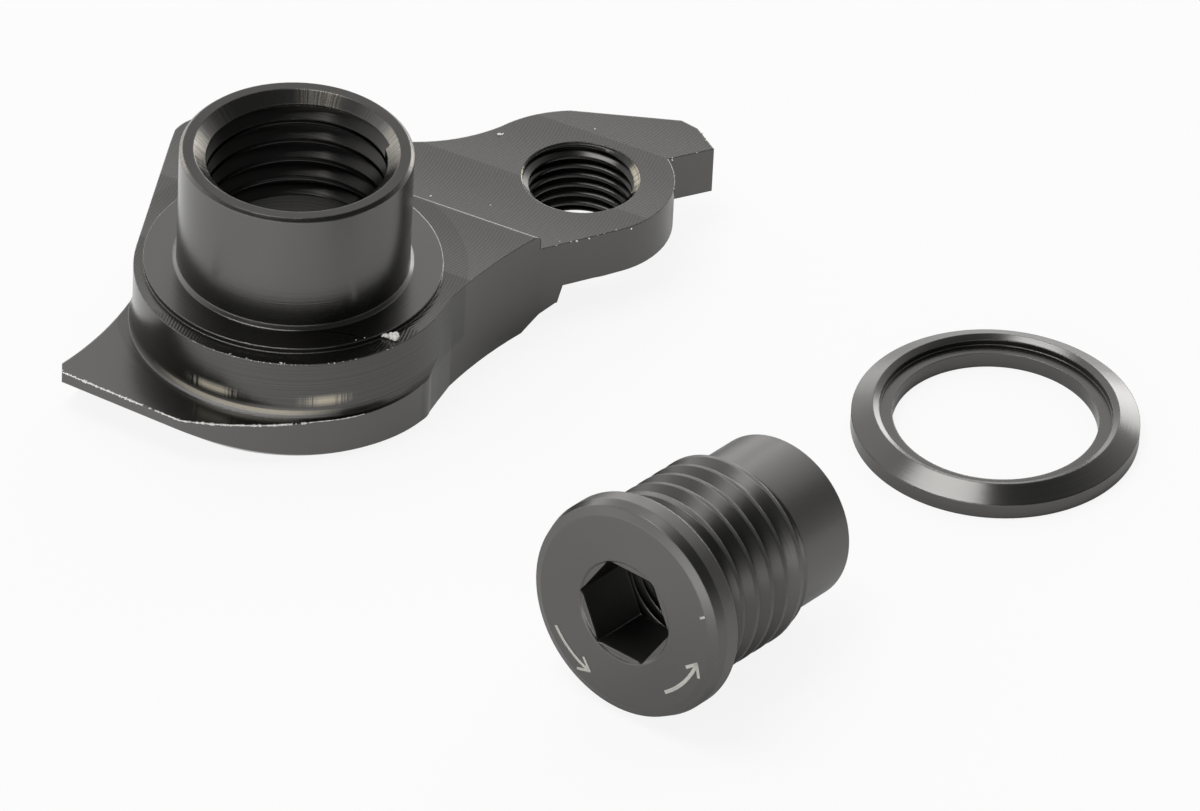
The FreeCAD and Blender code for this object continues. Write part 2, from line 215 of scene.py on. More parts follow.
class StageSettings(bpy.types.PropertyGroup):
    """Table and light."""
    table: FloatVectorProperty(
        name="Table", description="Colour of the table", subtype="COLOR",
        size=3, min=0.0, max=1.0, default=linear("#f8f8f8"))
    room: FloatProperty(
        name="Room", description="Level of the dark room, where 1 is white", min=0.0, max=1.0,
        default=0.08)
    horizon: FloatProperty(
        name="Horizon", description="What the room gains low down all round", min=0.0, max=1.0,
        default=0.34)
    backdrop: FloatProperty(
        name="Backdrop", description="Level of the backdrop behind and to the left, where 1 is white",
        min=0.0, max=2.0, default=0.9)
    glow: FloatProperty(
        name="Glow", description="What the backdrop gains low down, where the lit table meets it",
        min=0.0, max=2.0, default=0.75)
    near_glow: FloatProperty(
        name="Near glow", description="What the room gains low down at the left, near the camera",
        min=0.0, max=4.0, default=2.4)
    key_power: FloatProperty(
        name="Key light", description="Power of the softbox high on the left, in watts",
        min=0.0, max=50.0, default=1.7)
    side_power: FloatProperty(
        name="Side light", description="Power of the low softbox at the back right, in watts",
        min=0.0, max=50.0, default=0.9)


def add_node(tree, kind, inputs=None, output=0, **settings):
    """Add a node with its settings and inputs, and return one of its outputs."""
    node = tree.nodes.new(kind)
    for name, value in settings.items():
        setattr(node, name, value)
    for key, value in (inputs or {}).items():
        if isinstance(value, bpy.types.NodeSocket):
            tree.links.new(value, node.inputs[key])
        else:
            node.inputs[key].default_value = value
    return node.outputs[output] if node.outputs else None


def new_material(name):
    """A material with an empty node tree."""
    material = bpy.data.materials.new(name)
    material.use_nodes = True
    material.node_tree.nodes.clear()
    return material


class Lathe:
    """Sockets that say where a point lies about a turned piece's axis."""

    def __init__(self, tree, centre, axis):
        geometry = add_node(tree, "ShaderNodeNewGeometry").node
        self.position = geometry.outputs["Position"]
        self.normal = geometry.outputs["Normal"]
        offset = add_node(tree, VECTOR, {0: self.position, 1: centre}, operation="SUBTRACT")
        self.along = add_node(tree, VECTOR, {0: offset, 1: axis}, "Value", operation="DOT_PRODUCT")
        on_axis = add_node(tree, VECTOR, {0: axis, "Scale": self.along}, operation="SCALE")
        self.radial = add_node(tree, VECTOR, {0: offset, 1: on_axis}, operation="SUBTRACT")
        self.radius = add_node(tree, VECTOR, {0: self.radial}, "Value", operation="LENGTH")
        hoop = add_node(tree, VECTOR, {0: axis, 1: self.radial}, operation="CROSS_PRODUCT")
        across = add_node(tree, VECTOR, {0: self.normal, 1: hoop}, operation="CROSS_PRODUCT")
        self.across = add_node(tree, VECTOR, {0: across}, operation="NORMALIZE")
        facing = add_node(tree, VECTOR, {0: self.normal, 1: axis}, "Value", operation="DOT_PRODUCT")
        self.tilt = add_node(tree, MATH, {0: facing}, operation="ABSOLUTE")
        self.level = add_node(tree, MATH, {0: self.tilt, 1: 0.95}, operation="GREATER_THAN")
        self.steep = add_node(tree, MATH, {0: 1.0, 1: self.level}, operation="SUBTRACT")


def product(tree, *values):
    """All the values multiplied."""
    result = values[0]
    for value in values[1:]:
        result = add_node(tree, MATH, {0: result, 1: value}, operation="MULTIPLY")
    return result


def band(tree, value, low, high, soft):
    """1 between two values, with soft ends."""
    rise = add_node(tree, RAMP, {"Value": value, "From Min": low - soft, "From Max": low + soft},
                    interpolation_type="SMOOTHSTEP")
    fall = add_node(tree, RAMP, {"Value": value, "From Min": high + soft, "From Max": high - soft},
                    interpolation_type="SMOOTHSTEP")
    return add_node(tree, MATH, {0: rise, 1: fall}, operation="MULTIPLY")


def tool_lines(tree, travel, spacing):
    """Height of fine lines that a tool leaves as it travels, uneven, from 0 to 1."""
    count = add_node(tree, MATH, {0: travel, 1: spacing}, operation="DIVIDE")
    return add_node(tree, NOISE, {"W": count, "Scale": 1.0, "Detail": 2.0}, noise_dimensions="1D")


def milling_arcs(tree, position):
    """What a face mill leaves in straight passes: the arcs' height, and the place in the pass."""
    across = (math.cos(PASS_ANGLE), math.sin(PASS_ANGLE), 0)
    along = (math.sin(PASS_ANGLE), -math.cos(PASS_ANGLE), 0)
    reach = add_node(tree, VECTOR, {0: position, 1: across}, "Value", operation="DOT_PRODUCT")
    travel = add_node(tree, VECTOR, {0: position, 1: along}, "Value", operation="DOT_PRODUCT")
    start = add_node(tree, MATH, {0: reach, 1: PASS_START}, operation="SUBTRACT")
    passes = add_node(tree, MATH, {0: start, 1: PASS_WIDTH}, operation="DIVIDE")
    share = add_node(tree, MATH, {0: passes}, operation="FRACT")
    offset = add_node(tree, MATH, {0: share, 1: PASS_WIDTH, 2: -CUTTER_MIDDLE},
                      operation="MULTIPLY_ADD")
    square = add_node(tree, MATH, {0: offset, 1: offset}, operation="MULTIPLY")
    room = add_node(tree, MATH, {0: CUTTER_RADIUS ** 2, 1: square}, operation="SUBTRACT")
    bow = add_node(tree, MATH, {0: room}, operation="SQRT")
    front = add_node(tree, MATH, {0: travel, 1: bow}, operation="SUBTRACT")
    phase = add_node(tree, MATH, {0: front, 1: 2 * math.pi / CUTTER_FEED}, operation="MULTIPLY")
    wave = add_node(tree, MATH, {0: phase}, operation="SINE")
    clouds = add_node(tree, NOISE, {"Scale": 0.16 / MM, "Detail": 1.0})
    depth = add_node(tree, RAMP, {"Value": clouds, "From Min": 0.38, "From Max": 0.6, "To Min": 0.35})
    return product(tree, wave, depth), share


def edge_wear_and_highlight(tree, normal, rounded):
    """Where an edge is worn bare and painted with a highlight, from 0 to 1: edges alone, broken up along
    their length.
    """
    facing = add_node(tree, VECTOR, {0: normal, 1: rounded}, "Value", operation="DOT_PRODUCT")
    edge = add_node(tree, RAMP, {"Value": facing, "From Min": 0.99, "From Max": 0.9})
    patches = add_node(tree, NOISE, {"Scale": 0.9 / MM, "Detail": 3.0})
    worn = add_node(tree, RAMP, {"Value": patches, "From Min": 0.6, "From Max": 0.72})
    return add_node(tree, MATH, {0: edge, 1: worn}, operation="MULTIPLY")


def anodised_aluminium(name, lathe_place, lathe_axis, marks, duller):
    """Aluminium, anodised black: a satin metal mirror, dark, whose tool marks fan the light out.

    marks adds the piece's own tool marks: it gets the tree and the lathe, and returns a height,
    a shade that the dye is scaled by, which holds painted light and shade, and where painted
    highlights go. duller is what the piece's roughness gains.
    """
    finish = bpy.context.scene.hanger_finish
    material = new_material(name)
    tree = material.node_tree
    lathe = Lathe(tree, lathe_place, lathe_axis)
    height, shade, painted_highlight = marks(tree, lathe)
    rounded = add_node(tree, "ShaderNodeBevel", {"Radius": finish.edge_radius}, samples=6)
    normal = add_node(tree, "ShaderNodeBump", {"Strength": 1.0, "Distance": 1.0,
                                               "Height": height, "Normal": rounded})
    clouds = add_node(tree, NOISE, {"Scale": 0.12 / MM, "Detail": 2.0})
    dye = add_node(tree, "ShaderNodeMix", {"Factor": clouds, 6: (*finish.anodised, 1),
                                           7: (*finish.anodised_warm, 1)}, "Result", data_type="RGBA")
    # The dye is scaled by the painted light and shade, and the painted highlights are mixed over it
    dye = add_node(tree, VECTOR, {0: dye, "Scale": shade}, operation="SCALE")
    dye = add_node(tree, "ShaderNodeMix", {"Factor": painted_highlight, 6: dye, 7: (*finish.painted_highlight, 1)},
                   "Result", data_type="RGBA")
    # Edges take the bare colour, partly as wear and partly as a painted highlight
    wear_and_highlight = edge_wear_and_highlight(tree, lathe.normal, rounded)
    colour = add_node(tree, "ShaderNodeMix", {"Factor": wear_and_highlight, 6: dye, 7: (*finish.bare, 1)},
                      "Result", data_type="RGBA")
    smudges = add_node(tree, NOISE, {"Scale": 0.5 / MM, "Detail": 4.0})
    smudged = 0.12
    painted_highlight_rougher = 0.3
    painted_highlight_less_mirror = 0.6
    roughness = add_node(tree, MATH, {
        0: smudges, 1: smudged, 2: finish.roughness + duller - smudged / 2}, operation="MULTIPLY_ADD")
    roughness = add_node(tree, MATH, {0: painted_highlight, 1: painted_highlight_rougher, 2: roughness},
                         operation="MULTIPLY_ADD")
    metallic = add_node(tree, MATH, {0: painted_highlight, 1: -painted_highlight_less_mirror, 2: 1.0},
                        operation="MULTIPLY_ADD")
    shader = add_node(tree, "ShaderNodeBsdfPrincipled", {
        "Base Color": colour, "Metallic": metallic, "Roughness": roughness, "Normal": normal,
        "Anisotropic": 0.5, "Tangent": lathe.across})
    add_node(tree, "ShaderNodeOutputMaterial", {"Surface": shader})
    return material


def turn_about(tree, position, centre):
    """Angle of a point about an upright axis, in radians."""
    offset = add_node(tree, VECTOR, {0: position, 1: centre}, operation="SUBTRACT")
    parts = add_node(tree, "ShaderNodeSeparateXYZ", {0: offset}).node.outputs
    return add_node(tree, MATH, {0: parts["Y"], 1: parts["X"]}, operation="ARCTAN2")


def milled_tops(tree, lathe):
    """The arm's and the head's upper faces: height of the arcs, their tone, and where these faces are.

    The tone is painted light and shade: the arcs lighter and darker in turn, and each pass shaded
    darker from one side to the other, ending in a painted thin bright line.
    """
    arcs, share = milling_arcs(tree, lathe.position)
    outside = add_node(tree, MATH, {0: lathe.radius, 1: SEAT_RADIUS}, operation="GREATER_THAN")
    high = add_node(tree, MATH, {0: lathe.along, 1: (FOOT_TOP + ARM_TOP) / 2}, operation="GREATER_THAN")
    milled = product(tree, lathe.level, outside, high)
    # Painted shade across each pass, and a painted bright line at its end
    pass_shade = add_node(tree, RAMP, {"Value": share, "To Min": 0.04, "To Max": -0.13},
                    interpolation_type="SMOOTHERSTEP")
    line = add_node(tree, RAMP, {"Value": share, "From Min": 0.978, "From Max": 0.99, "To Max": 0.1})
    tone = add_node(tree, MATH, {0: arcs, 1: 0.12, 2: pass_shade}, operation="MULTIPLY_ADD")
    tone = add_node(tree, MATH, {0: tone, 1: line}, operation="ADD")
    return product(tree, arcs, milled, ARC_HEIGHT), product(tree, tone, milled), milled


def hanger_marks(tree, lathe):
    """Milled arcs on the upper faces, turned rings on the seat, lines on the walls, with painted shade
    and painted highlights.
    """
    hole = Lathe(tree, HOLE_CENTRE, UP)
    arc_height, tone, milled = milled_tops(tree, lathe)
    turned = add_node(tree, MATH, {0: lathe.level, 1: milled}, operation="SUBTRACT")
    rings = product(tree, tool_lines(tree, lathe.radius, 0.16 * MM), turned)
    lines = product(tree, tool_lines(tree, lathe.along, 0.14 * MM), lathe.steep)
    fine = add_node(tree, MATH, {0: rings, 1: lines}, operation="ADD")
    height = add_node(tree, MATH, {0: fine, 1: FINE_HEIGHT, 2: arc_height}, operation="MULTIPLY_ADD")

    # Chamfers, which lean by about 45 degrees, at the barrel's mouth and in the hole
    slanted = band(tree, lathe.tilt, 0.55, 0.85, 0.02)
    at_mouth = add_node(tree, MATH, {0: lathe.along, 1: MOUTH_BOTTOM}, operation="GREATER_THAN")
    in_hole = add_node(tree, MATH, {0: hole.radius, 1: HOLE_MOUTH_RADIUS + 0.05 * MM},
                       operation="LESS_THAN")
    ticks = tool_lines(tree, turn_about(tree, lathe.position, HEAD_CENTRE), math.radians(MOUTH_TICK))
    hole_ticks = tool_lines(tree, turn_about(tree, lathe.position, HOLE_CENTRE), math.radians(HOLE_TICK))
    chatter = add_node(tree, MATH, {
        0: product(tree, slanted, at_mouth, ticks), 1: product(tree, slanted, in_hole, hole_ticks)},
        operation="ADD")
    height = add_node(tree, MATH, {0: chatter, 1: CHATTER_HEIGHT, 2: height}, operation="MULTIPLY_ADD")

    in_bore = add_node(tree, MATH, {0: lathe.radius, 1: BORE_RADIUS}, operation="LESS_THAN")
    below_mouth = add_node(tree, MATH, {0: lathe.along, 1: MOUTH_BOTTOM + 0.3 * MM},
                           operation="LESS_THAN")
    rim = add_node(tree, MATH, {0: lathe.along, 1: RIM_HEIGHT - 0.05 * MM}, operation="GREATER_THAN")
    shade = add_node(tree, MATH, {0: 1.0, 1: tone}, operation="ADD")
    head_wall = product(tree, band(tree, lathe.radius, BARREL_OUTSIDE, HEAD_OUTSIDE, 0.1 * MM),
                        band(tree, lathe.along, FOOT_TOP, HEAD_TOP, 0.2 * MM))
    wall_lines = add_node(tree, MATH, {0: lines, 1: 0.5}, operation="SUBTRACT")
    # Painted shade: darker in the barrel's bore below its mouth, in the hole and on the walls round the
    # head; the rim's flat is darker too, and the turning lines on the head's wall lighter and darker in
    # turn
    shade_changes = ((product(tree, in_bore, below_mouth), -0.55), (in_hole, -0.45), (rim, -0.42),
                     (product(tree, wall_lines, lathe.steep, head_wall), 0.55), (head_wall, -0.22))
    for place, change in shade_changes:
        shade = add_node(tree, MATH, {0: place, 1: change, 2: shade}, operation="MULTIPLY_ADD")

    # Painted highlights, ticked, on the chamfers of the barrel's mouth and of the hole, then those on the
    # head's wall
    turn = turn_about(tree, lathe.position, BARREL_CENTRE)
    mouth = product(tree, ticked_patches(tree, turn, MOUTH_GLINTS, ticks), slanted, at_mouth,
                    MOUTH_SHARE)
    turn = turn_about(tree, lathe.position, HOLE_CENTRE)
    hole_mouth = product(tree, ticked_patches(tree, turn, HOLE_GLINTS, hole_ticks), slanted,
                         in_hole, HOLE_SHARE)
    bright = add_node(tree, MATH, {0: mouth, 1: hole_mouth}, operation="ADD")
    bright = add_node(tree, MATH, {0: bright, 1: painted_wall_highlights(tree, lathe, ticks)}, operation="ADD")
    return height, shade, bright


def ticked_patches(tree, turn, spans, ticks):
    """Soft patches at spans of an angle in degrees, broken into ticks."""
    soft = 6
    ticked = add_node(tree, RAMP, {"Value": ticks, "From Min": 0.4, "From Max": 0.55, "To Min": 0.25})
    total = 0.0
    for low, high in spans:
        patch = band(tree, turn, math.radians(low), math.radians(high), math.radians(soft))
        total = add_node(tree, MATH, {0: patch, 1: total}, operation="ADD")
    return product(tree, total, ticked)


def painted_wall_highlights(tree, lathe, ticks):
    """Painted highlights at the head's wall: soft warm patches, ticked at their ends, and a thin band
    along the hollow below it.
    """
    turn = turn_about(tree, lathe.position, HEAD_CENTRE)
    ticked = add_node(tree, RAMP, {"Value": ticks, "From Min": 0.4, "From Max": 0.55})
    ticked_end = 3
    bright = 0.0
    for low, high in WALL_HIGHLIGHTS:
        whole = band(tree, turn, math.radians(low), math.radians(high), math.radians(5))
        middle = band(tree, turn, math.radians(low + ticked_end), math.radians(high - ticked_end),
                      math.radians(2))
        shown = add_node(tree, MATH, {0: middle, 1: ticked}, operation="MAXIMUM")
        bright = add_node(tree, MATH, {0: product(tree, whole, shown), 1: bright}, operation="ADD")
    belt = band(tree, lathe.along, WALL_HIGHLIGHT_LOW, WALL_HIGHLIGHT_HIGH, 0.35 * MM)
    grain = tool_lines(tree, lathe.along, 0.12 * MM)
    grain = add_node(tree, RAMP, {"Value": grain, "From Min": 0.3, "From Max": 0.7, "To Min": 0.55})
    patches = product(tree, bright, belt, grain, lathe.steep, WALL_HIGHLIGHT_SHARE)
    # The painted highlight in a thin band along the hollow under the wall
    hollow = band(tree, lathe.along, FOOT_TOP + 0.35 * MM, FOOT_TOP + 0.7 * MM, 0.15 * MM)
    rubbed = band(tree, turn, *(math.radians(angle) for angle in HOLLOW_HIGHLIGHT), math.radians(14))
    rubbed = product(tree, hollow, rubbed, grain)
    return add_node(tree, MATH, {0: rubbed, 1: HOLLOW_HIGHLIGHT_SHARE, 2: patches}, operation="MULTIPLY_ADD")


def turned_marks(tree, lathe):
    """Fine rings all over a turned piece, with painted shade inside its bore, and mottled threads."""
    rings = product(tree, lathe.radius, lathe.level)
    travel = add_node(tree, MATH, {0: lathe.along, 1: lathe.steep, 2: rings}, operation="MULTIPLY_ADD")
    height = product(tree, tool_lines(tree, travel, 0.14 * MM), FINE_HEIGHT)
    # Painted shade inside the bore
    bore = add_node(tree, MATH, {0: lathe.radius, 1: AXLE_BORE_RADIUS}, operation="LESS_THAN")
    deep = add_node(tree, MATH, {0: lathe.along, 1: 0.4 * MM}, operation="GREATER_THAN")
    shade = add_node(tree, MATH, {0: product(tree, bore, deep), 1: -0.35, 2: 1.0},
                     operation="MULTIPLY_ADD")
    outside = add_node(tree, MATH, {0: 1.0, 1: bore}, operation="SUBTRACT")
    threads = product(tree, band(tree, lathe.along, *BOLT_THREADS, 0.2 * MM), outside)
    mottle = add_node(tree, NOISE, {"Scale": 1.4 / MM, "Detail": 3.0})
    shade = add_node(tree, MATH, {0: threads, 1: product(tree, mottle, -0.5), 2: shade},
                     operation="MULTIPLY_ADD")
    no_painted_highlight = 0.0
    return height, shade, no_painted_highlight


def bare_aluminium():
    """Bare aluminium, torn by the cutter: bright, rough and white beside the black dye."""
    finish = bpy.context.scene.hanger_finish
    material = new_material("Bare aluminium, torn")
    tree = material.node_tree
    grain = add_node(tree, NOISE, {"Scale": 6.0 / MM, "Detail": 2.0})
    roughness = add_node(tree, MATH, {0: grain, 1: 0.3, 2: 0.4}, operation="MULTIPLY_ADD")
    shader = add_node(tree, "ShaderNodeBsdfPrincipled", {
        "Base Color": (*finish.bare, 1), "Metallic": 0.6, "Roughness": roughness})
    add_node(tree, "ShaderNodeOutputMaterial", {"Surface": shader})
    return material


def printing_ink():
    """Pad-printed ink: matte, nearly white, with small thin spots where the metal shows."""
    finish = bpy.context.scene.hanger_finish
    material = new_material("Ink, pad printed")
    tree = material.node_tree
    spots = add_node(tree, NOISE, {"Scale": 5.0 / MM, "Detail": 3.0})
    thin = add_node(tree, RAMP,
                    {"Value": spots, "From Min": 0.35, "From Max": 0.5, "To Min": 0.55, "To Max": 1.0})
    ink = add_node(tree, VECTOR, {0: tuple(finish.printing), "Scale": thin}, operation="SCALE")
    shader = add_node(tree, "ShaderNodeBsdfPrincipled", {"Base Color": ink, "Roughness": 0.55})
    add_node(tree, "ShaderNodeOutputMaterial", {"Surface": shader})
    return material


def pale_matte(name, code):
    """A pale chip, matte and chalky, with fine pits that grey it a little."""
    material = new_material(name)
    tree = material.node_tree
    pits = add_node(tree, NOISE, {"Scale": 7.0 / MM, "Detail": 3.0})
    shade = add_node(tree, RAMP, {"Value": pits, "From Min": 0.35, "From Max": 0.6, "To Min": 0.75})
    colour = add_node(tree, VECTOR, {0: tuple(linear(code)), "Scale": shade}, operation="SCALE")
    shader = add_node(tree, "ShaderNodeBsdfPrincipled", {"Base Color": colour, "Roughness": 0.8})
    add_node(tree, "ShaderNodeOutputMaterial", {"Surface": shader})
    return material


def new_piece(name, bm, material):
    """A finished mesh piece that rides with the part and takes its finish from a slot."""
    mesh = bpy.data.meshes.new(name)
    bm.to_mesh(mesh)
    bm.free()
    mesh.materials.append(material)
    piece = bpy.data.objects.new(name, mesh)
    bpy.context.scene.collection.objects.link(piece)
    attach(piece, "root")
    return piece


def thread_ridge(root, pitch, depth, low, high, mouth=None):
    """The helical ridge of a right-hand inner thread about Z, cut off flat at both ends.

    mouth is the radius and height of the hole's edge, from which a 45 degree lead-in cuts into
    the crest, or None where there is no lead-in.
    """
    steps = 72
    sunk = 0.02 * MM
    foot = 0.44                     # half the ridge's width at its foot, in pitches
    crest = 0.125                   # and at its crest
    section = [(root + sunk, -foot), (root - depth, -crest), (root - depth, crest), (root + sunk, foot)]
    bm = bmesh.new()
    turns = (high - low) / pitch + 1
    last = None
    for index in range(int(turns * steps) + 1):
        angle = 2 * math.pi * index / steps
        middle = low + pitch * (index / steps - 0.5)
        ring = []
        for radius, rise in section:
            height = min(max(middle + pitch * rise, low), high)
            reach = radius
            if mouth:
                reach = max(radius, min(mouth[0] - mouth[1] + height, root + sunk))
            ring.append(bm.verts.new((reach * math.cos(angle), reach * math.sin(angle), height)))
        if last:
            for here, there in ((0, 1), (1, 2), (2, 3), (3, 0)):
                bm.faces.new((last[here], ring[here], ring[there], last[there]))
        last = ring
    bmesh.ops.remove_doubles(bm, verts=bm.verts, dist=0.001 * MM)
    bmesh.ops.dissolve_degenerate(bm, edges=bm.edges, dist=0.001 * MM)
    bmesh.ops.recalc_face_normals(bm, faces=bm.faces)
    return bm


def bolt_frame():
    """Matrix from the bolt's own frame, with Z into the bolt, to the part's frame."""
    side = Vector((-BOLT_AXIS.y, BOLT_AXIS.x, 0)).normalized()
    up = BOLT_AXIS.cross(side)
    turn = Matrix((side, up, BOLT_AXIS)).transposed().to_4x4()
    return Matrix.Translation(BOLT_FACE) @ turn


def shade_round(piece, angle=30):
    """Smooth shading, with a crease wherever faces meet at more than this angle in degrees."""
    for polygon in piece.data.polygons:
        polygon.use_smooth = True
    piece.data.set_sharp_from_angle(angle=math.radians(angle))


def stroke(bm, points, width, height):
    """A flat stroke along points in the XY plane, raised by height towards -Z, or down to +Z."""
    left = []
    right = []
    for index, point in enumerate(points):
        before = points[max(index - 1, 0)]
        after = points[min(index + 1, len(points) - 1)]
        ahead = (after - before).normalized()
        aside = Vector((-ahead.y, ahead.x, 0)) * width / 2
        left.append(bm.verts.new(point + aside + Vector((0, 0, -height))))
        right.append(bm.verts.new(point - aside + Vector((0, 0, -height))))
    faces = [bm.faces.new((left[i], left[i + 1], right[i + 1], right[i])) for i in range(len(points) - 1)]
    bmesh.ops.solidify(bm, geom=faces, thickness=abs(height) * 0.8)


def polar(radius, angle):
    """The point at a radius and an angle in degrees in the XY plane."""
    turn = math.radians(angle)
    return Vector((radius * math.cos(turn), radius * math.sin(turn), 0))


def arrow(bm, start, end, width):
    """A curved arrow from start to end, each a radius and degrees, with two barbs at its end."""
    steps = 14
    barb_length = 1.3 * MM
    barb_angle = 34
    points = []
    for index in range(steps + 1):
        radius, angle = (first + (last - first) * index / steps for first, last in zip(start, end))
        points.append(polar(radius, angle))
    stroke(bm, points, width, INK_HEIGHT)
    back = (points[-3] - points[-1]).normalized()
    for turn in (barb_angle, -barb_angle):
        barb = back.copy()
        barb.rotate(Matrix.Rotation(math.radians(turn), 3, "Z"))
        stroke(bm, [points[-1] - barb * width * 0.3, points[-1] + barb * barb_length], width * 0.9,
               INK_HEIGHT)


def top_edges(node, height):
    """Points along the edges where a level face meets a wall below it, and the ways out from it."""
    bm = bmesh.new()
    bm.from_mesh(frame["nodes"][node].data)
    bmesh.ops.remove_doubles(bm, verts=bm.verts, dist=0.002 * MM)
    step = 0.1 * MM
    points = []
    for edge in bm.edges:
        if len(edge.link_faces) != 2 or any(abs(v.co.z - height) > 0.003 * MM for v in edge.verts):
            continue
        rises = sorted(face.normal.z for face in edge.link_faces)
        if rises[1] < 0.9 or abs(rises[0]) > 0.6:
            continue
        wall = min(edge.link_faces, key=lambda face: abs(face.normal.z))
        if wall.calc_center_median().z > height:
            continue
        outward = Vector((wall.normal.x, wall.normal.y, 0)).normalized()
        start, end = (v.co.copy() for v in edge.verts)
        count = max(int((end - start).length / step), 1)
        points.extend((start.lerp(end, i / count), outward) for i in range(count))
    bm.free()
    return points


def azimuth(point):
    """Direction of a point about the barrel's axis, in degrees from 0 to 360."""
    return math.degrees(math.atan2(point.y - BARREL_CENTRE.y, point.x - BARREL_CENTRE.x)) % 360


def edge_stretch(height, span):
    """The hanger's edge points at a height, between two directions in degrees."""
    low, high = span
    return [item for item in top_edges("hanger", height) if low < azimuth(item[0]) < high]


def ragged_burr(bm, points, size, chance, dice):
    """A torn lip along ordered edge points, thick and thin by chance, with gaps."""
    last = None
    present = True
    change = 0.12
    longest = 0.6 * MM
    for place, outward in points:
        if dice.random() < change:
            present = dice.random() < chance
        scale = size * dice.uniform(0.25, 1.0)
        if not present:
            last = None
            continue
        inner = place - outward * scale * dice.uniform(0.3, 1.3) + UP * 0.004 * MM
        peak = place + UP * scale * dice.uniform(0.2, 0.7) + outward * scale * 0.2
        outer = place + outward * scale * dice.uniform(0.1, 0.5)
        outer = outer - UP * scale * dice.uniform(0.2, 0.8)
        lip = [bm.verts.new(point) for point in (inner, peak, outer)]
        if last and (last[1].co - lip[1].co).length < longest:
            for i in range(3):
                bm.faces.new((last[i], lip[i], lip[(i + 1) % 3], last[(i + 1) % 3]))
        last = lip


def flake(bm, place, size, dice):
    """One small torn fleck of metal, a lopsided pebble."""
    made = bmesh.ops.create_icosphere(bm, subdivisions=1, radius=size / 2)["verts"]
    stretch = dice.uniform(1.0, 2.2)
    turn = Matrix.Rotation(dice.uniform(0, math.pi), 3, "Z")
    for vert in made:
        shape = Vector((vert.co.x * stretch, vert.co.y, vert.co.z * 0.6)) * dice.uniform(0.7, 1.3)
        vert.co = turn @ shape + place


def scatter_flakes(bm, points, chance, sizes, dice, reach=math.inf):
    """Flakes at some of the edge points in front of a reach, by chance, with sizes in millimetres."""
    for place, _ in points:
        if dice.random() < chance and place.y < reach:
            flake(bm, place, dice.uniform(*sizes) * MM, dice)


class HANGER_OT_finish_pieces(bpy.types.Operator):
    """Give the hanger, the bolt and the washer their anodised, machined finish"""
    bl_idname = "hanger.finish_pieces"
    bl_label = "Finish the Pieces"

    def execute(self, context):
        finishes = {
            "hanger": ("Anodised aluminium, milled and turned", BARREL_CENTRE, UP, hanger_marks, 0.0),
            "hanger_bolt": ("Anodised aluminium, turned bolt", BOLT_FACE, BOLT_AXIS, turned_marks, 0.12),
            "washer": ("Anodised aluminium, turned washer", WASHER_CENTRE, UP, turned_marks, 0.0)}
        for node, finish in finishes.items():
            material = anodised_aluminium(*finish)
            piece = frame["nodes"][node]
            for slot in piece.material_slots:
                slot.material = material
        return {"FINISHED"}


class HANGER_OT_cut_hole_thread(bpy.types.Operator):
    """Add the ridges of the fine thread in the derailleur's hole"""
    bl_idname = "hanger.cut_hole_thread"
    bl_label = "Cut the Hole's Thread"

    def execute(self, context):
        sizes = context.scene.hanger_threads
        low = BOSS_BOTTOM + 0.1 * MM
        high = ARM_TOP - 0.13 * MM
        bm = thread_ridge(HOLE["dims"]["r_mm"] * MM, sizes.pitch, sizes.depth, low, high,
                          (HOLE_MOUTH_RADIUS, ARM_TOP))
        bm.transform(Matrix.Translation((HOLE_CENTRE.x, HOLE_CENTRE.y, 0)))
        material = frame["nodes"]["hanger"].material_slots[0].material
        shade_round(new_piece("hole_thread", bm, material))
        return {"FINISHED"}


class HANGER_OT_cut_axle_thread(bpy.types.Operator):
    """Add the ridges of the fine thread inside the hollow bolt"""
    bl_idname = "hanger.cut_axle_thread"
    bl_label = "Cut the Axle's Thread"

    def execute(self, context):
        sizes = context.scene.hanger_threads
        low = HEX_DEPTH + 0.4 * MM
        high = HEX_DEPTH + AXLE["dims"]["length_mm"] * MM - 0.3 * MM
        bm = thread_ridge(AXLE["dims"]["r_mm"] * MM, sizes.pitch, sizes.depth, low, high)
        bm.transform(bolt_frame())
        material = frame["nodes"]["hanger_bolt"].material_slots[0].material
        shade_round(new_piece("axle_thread", bm, material))
        return {"FINISHED"}


class HANGER_OT_print_arrows(bpy.types.Operator):
    """Print the two turning arrows and the small mark on the bolt's face"""
    bl_idname = "hanger.print_arrows"
    bl_label = "Print the Arrows"

    def execute(self, context):
        bm = bmesh.new()
        arrow(bm, start=(7.87 * MM, -34.0), end=(7.52 * MM, -69.5), width=0.28 * MM)
        arrow(bm, start=(7.36 * MM, -133.2), end=(7.88 * MM, -171.0), width=0.33 * MM)
        mark = [polar(8.1 * MM, 157.3), polar(8.7 * MM, 156.2)]
        stroke(bm, mark, width=0.22 * MM, height=INK_HEIGHT)
        bm.transform(bolt_frame())
        new_piece("printed_arrows", bm, printing_ink())
        return {"FINISHED"}


